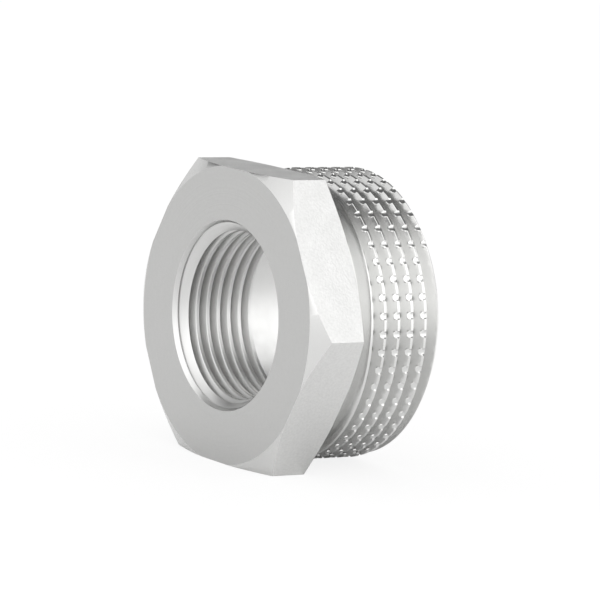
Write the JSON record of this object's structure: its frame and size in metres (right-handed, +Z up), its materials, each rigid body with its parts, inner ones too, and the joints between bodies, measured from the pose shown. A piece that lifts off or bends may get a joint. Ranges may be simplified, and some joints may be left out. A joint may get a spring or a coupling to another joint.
{
  "type": "hex bushing",
  "caption": "Nickel-plated brass reducing bushing: hexagon head, knurled male pipe thread outside and a smaller female pipe thread inside.",
  "frame": {"origin": "on the bushing's axis, at the centre of the hexagon head's outer face, where the female thread opens", "axes": "+X along the axis from the head's face to the male end; +Z up, square to the flat that the bushing lies on; +Y level, through a corner of the hexagon"},
  "size_m": [0.023, 0.0484, 0.042],
  "materials": {
    "nickel_plated_brass": "bright nickel plate over machined brass"
  },
  "bodies": {
    "root": {"hex_bushing": "nickel_plated_brass"}
  },
  "joints": []
}
